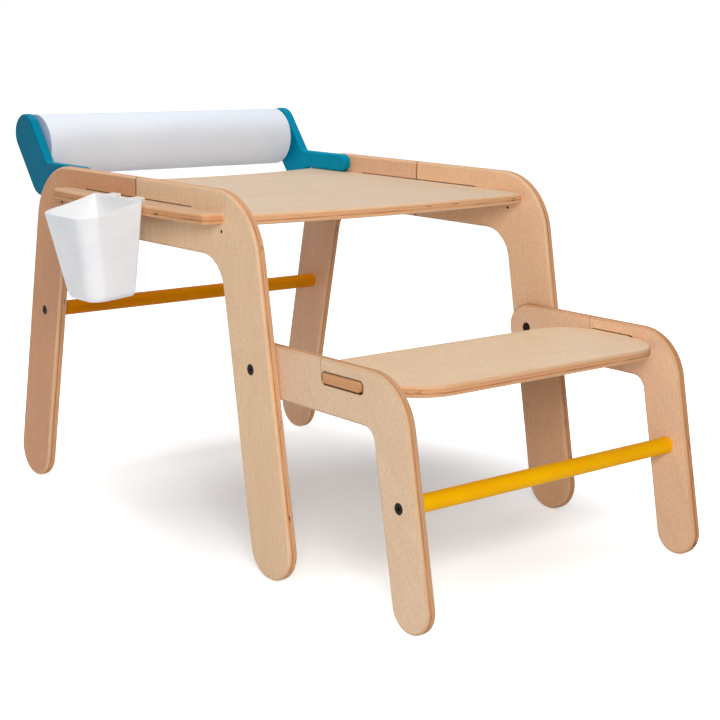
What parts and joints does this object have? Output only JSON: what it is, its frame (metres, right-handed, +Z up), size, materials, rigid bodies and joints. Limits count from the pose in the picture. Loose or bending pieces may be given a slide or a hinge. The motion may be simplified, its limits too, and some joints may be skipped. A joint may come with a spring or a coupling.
{
  "type": "child's desk with attached bench",
  "caption": "Child's plywood desk with a folding bench, a paper roll held over its rear edge, and a cup hooked on one side. The bench swings on two bolts.",
  "frame": {"origin": "on the floor, under the middle of the whole object's box", "axes": "+Z up; +Y towards the paper roll, with the bench at -Y; +X to the right of a child sitting on the bench, with the cup at -X"},
  "size_m": [0.7115, 0.994, 0.5695],
  "materials": {
    "birch_plywood": "clear matt lacquer on birch plywood, edges rounded over",
    "beech": "plain turned dowel",
    "yellow_lacquer": "satin yellow lacquer on a round wooden bar",
    "turquoise_lacquer": "satin turquoise lacquer on plywood",
    "black_steel": "black coated steel",
    "plain_steel": "zinc plated steel",
    "card": "spiral wound brown card",
    "paper": "wound white drawing paper",
    "white_plastic": "satin moulded plastic"
  },
  "bodies": {
    "desk": {"desk_top": "birch_plywood", "left_front_side": "birch_plywood", "left_rear_side": "birch_plywood", "right_front_side": "birch_plywood", "right_rear_side": "birch_plywood", "left_seam_dowels": "beech", "right_seam_dowels": "beech", "rear_bar": "yellow_lacquer", "rear_bar_bolts": "black_steel", "rear_bar_inserts": "plain_steel", "pivot_bolts": "black_steel", "pivot_sleeves": "black_steel", "pivot_washers": "plain_steel", "bracket_left": "turquoise_lacquer", "bracket_right": "turquoise_lacquer", "bracket_dowels": "beech"},
    "bench": {"bench_side_left": "birch_plywood", "bench_side_right": "birch_plywood", "seat_board": "birch_plywood", "front_bar": "yellow_lacquer", "front_bar_bolts": "black_steel", "front_bar_inserts": "plain_steel"},
    "roll": {"roll_spindle": "beech", "core_tube": "card", "paper_roll": "paper"},
    "cup": {"cup": "white_plastic"}
  },
  "joints": [
    {"name": "bench_fold", "type": "hinge", "parent": "desk", "child": "bench", "pos_m": [0.04582, -0.16661, 0.2735], "axis": [-1, 0, 0], "range_deg": [-150, 75]},
    {"name": "roll_spin", "type": "hinge", "parent": "desk", "child": "roll", "pos_m": [0.04582, 0.44951, 0.521], "axis": [1, 0, 0], "continuous": true},
    {"name": "cup_lift", "type": "slide", "parent": "desk", "child": "cup", "axis": [0, 0, 1], "range_m": [0, 0.03]}
  ]
}
